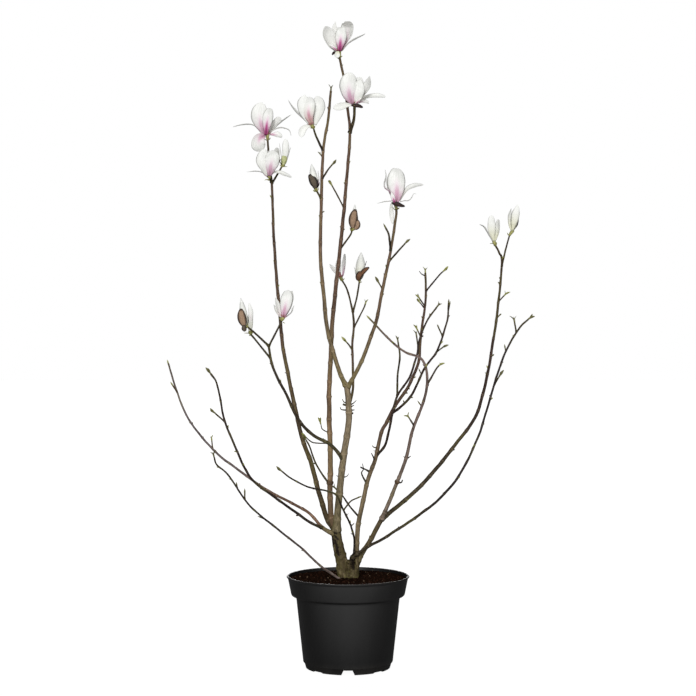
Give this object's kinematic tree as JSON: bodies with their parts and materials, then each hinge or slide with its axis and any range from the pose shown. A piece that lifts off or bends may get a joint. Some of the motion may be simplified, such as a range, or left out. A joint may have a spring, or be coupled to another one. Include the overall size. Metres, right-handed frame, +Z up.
{
  "type": "potted lily magnolia",
  "caption": "Young lily magnolia shrub in early bloom: bare upright stems with goblet flowers at their tips, rooted in a round black nursery pot.",
  "frame": {"origin": "middle of the pot's underside, where it stands on the ground", "axes": "+Z up along the pot's axis; -Y towards the side that the picture shows, +X to its right"},
  "size_m": [0.853, 0.5768, 1.4969],
  "materials": {
    "pot": "matte black injection-moulded plastic",
    "soil": "crumbly dark brown bark compost",
    "bark": "smooth brown-grey bark, olive near the soil",
    "blossom": "soft satin white petals flushed magenta at the foot, on dark reddish twigs"
  },
  "bodies": {
    "root": {"pot": "pot", "soil": "soil", "trunk": "bark", "bough_rear_middle": "bark", "bough_front": "bark", "bough_rear_left": "bark", "bough_front_left": "bark", "bough_front_right": "bark", "bough_left": "bark", "bough_right_upright": "bark", "bough_right_outer": "bark", "bough_right_middle": "bark", "bough_right_far": "bark", "bough_right_low": "bark", "bough_right_inner": "bark", "bough_left_low": "bark", "bough_left_upper": "bark", "bough_left_lower": "bark", "bough_from_soil": "bark", "spray_rear_left": "blossom", "spray_rear_middle": "blossom", "spray_front_left": "blossom", "spray_front_right": "blossom", "spray_front_middle": "blossom", "spray_left": "blossom", "spray_right_upright": "blossom", "spray_right_inner": "blossom", "spray_right_back": "blossom", "spray_right_middle": "blossom", "spray_right_far": "blossom", "spray_right_low": "blossom", "spray_left_upper": "blossom", "spray_left_lower": "blossom", "spray_from_soil": "blossom", "spray_inner": "blossom", "spray_knot": "blossom", "spray_behind": "blossom"}
  },
  "joints": []
}
